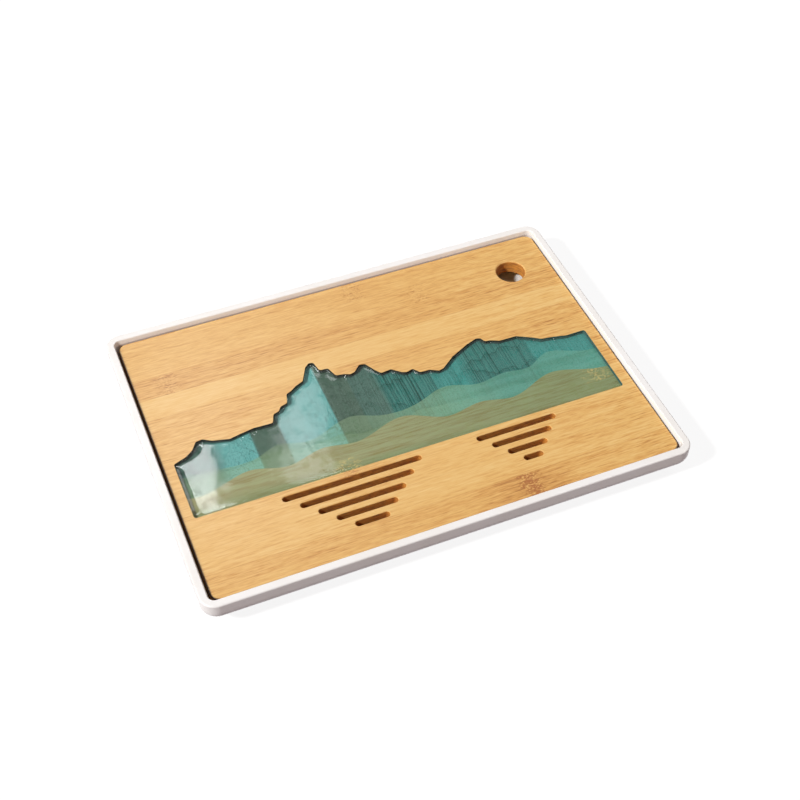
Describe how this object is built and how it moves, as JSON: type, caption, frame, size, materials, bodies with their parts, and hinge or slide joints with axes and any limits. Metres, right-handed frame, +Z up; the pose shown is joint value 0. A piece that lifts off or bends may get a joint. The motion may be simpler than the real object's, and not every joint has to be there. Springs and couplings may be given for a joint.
{
  "type": "gongfu tea tray",
  "caption": "Shallow white pan with a loose bamboo panel that lifts out by a finger hole, has drain slots and a mountain inlay under clear resin, and drains tea water into the basin below.",
  "frame": {"origin": "on the table under the middle of the tray", "axes": "+X along the tray's length to the right, +Y from the slotted front to the back, +Z up"},
  "size_m": [0.388, 0.28, 0.03],
  "materials": {
    "melamine": "smooth satin gloss",
    "silicone": "matte, slightly clear",
    "bamboo": "sanded and oiled, satin",
    "teal_paint": "streaked paint",
    "green_paint": "washed paint",
    "sage_paint": "washed paint",
    "resin": "polished, clear"
  },
  "bodies": {
    "pan": {"tray_pan": "melamine", "foot_front_left": "silicone", "foot_front_right": "silicone", "foot_back_left": "silicone", "foot_back_right": "silicone"},
    "panel": {"stave_01": "bamboo", "stave_02": "bamboo", "stave_03": "bamboo", "stave_04": "bamboo", "stave_05": "bamboo", "stave_06": "bamboo", "stave_07": "bamboo", "stave_08": "bamboo", "stave_09": "bamboo", "stave_10": "bamboo", "stave_11": "bamboo", "stave_12": "bamboo", "far_mountains": "teal_paint", "middle_hills": "green_paint", "near_hills": "sage_paint", "clear_resin": "resin"}
  },
  "joints": [
    {"name": "panel_lift", "type": "slide", "parent": "pan", "child": "panel", "axis": [0, 0, 1], "range_m": [0, 0.06]}
  ]
}
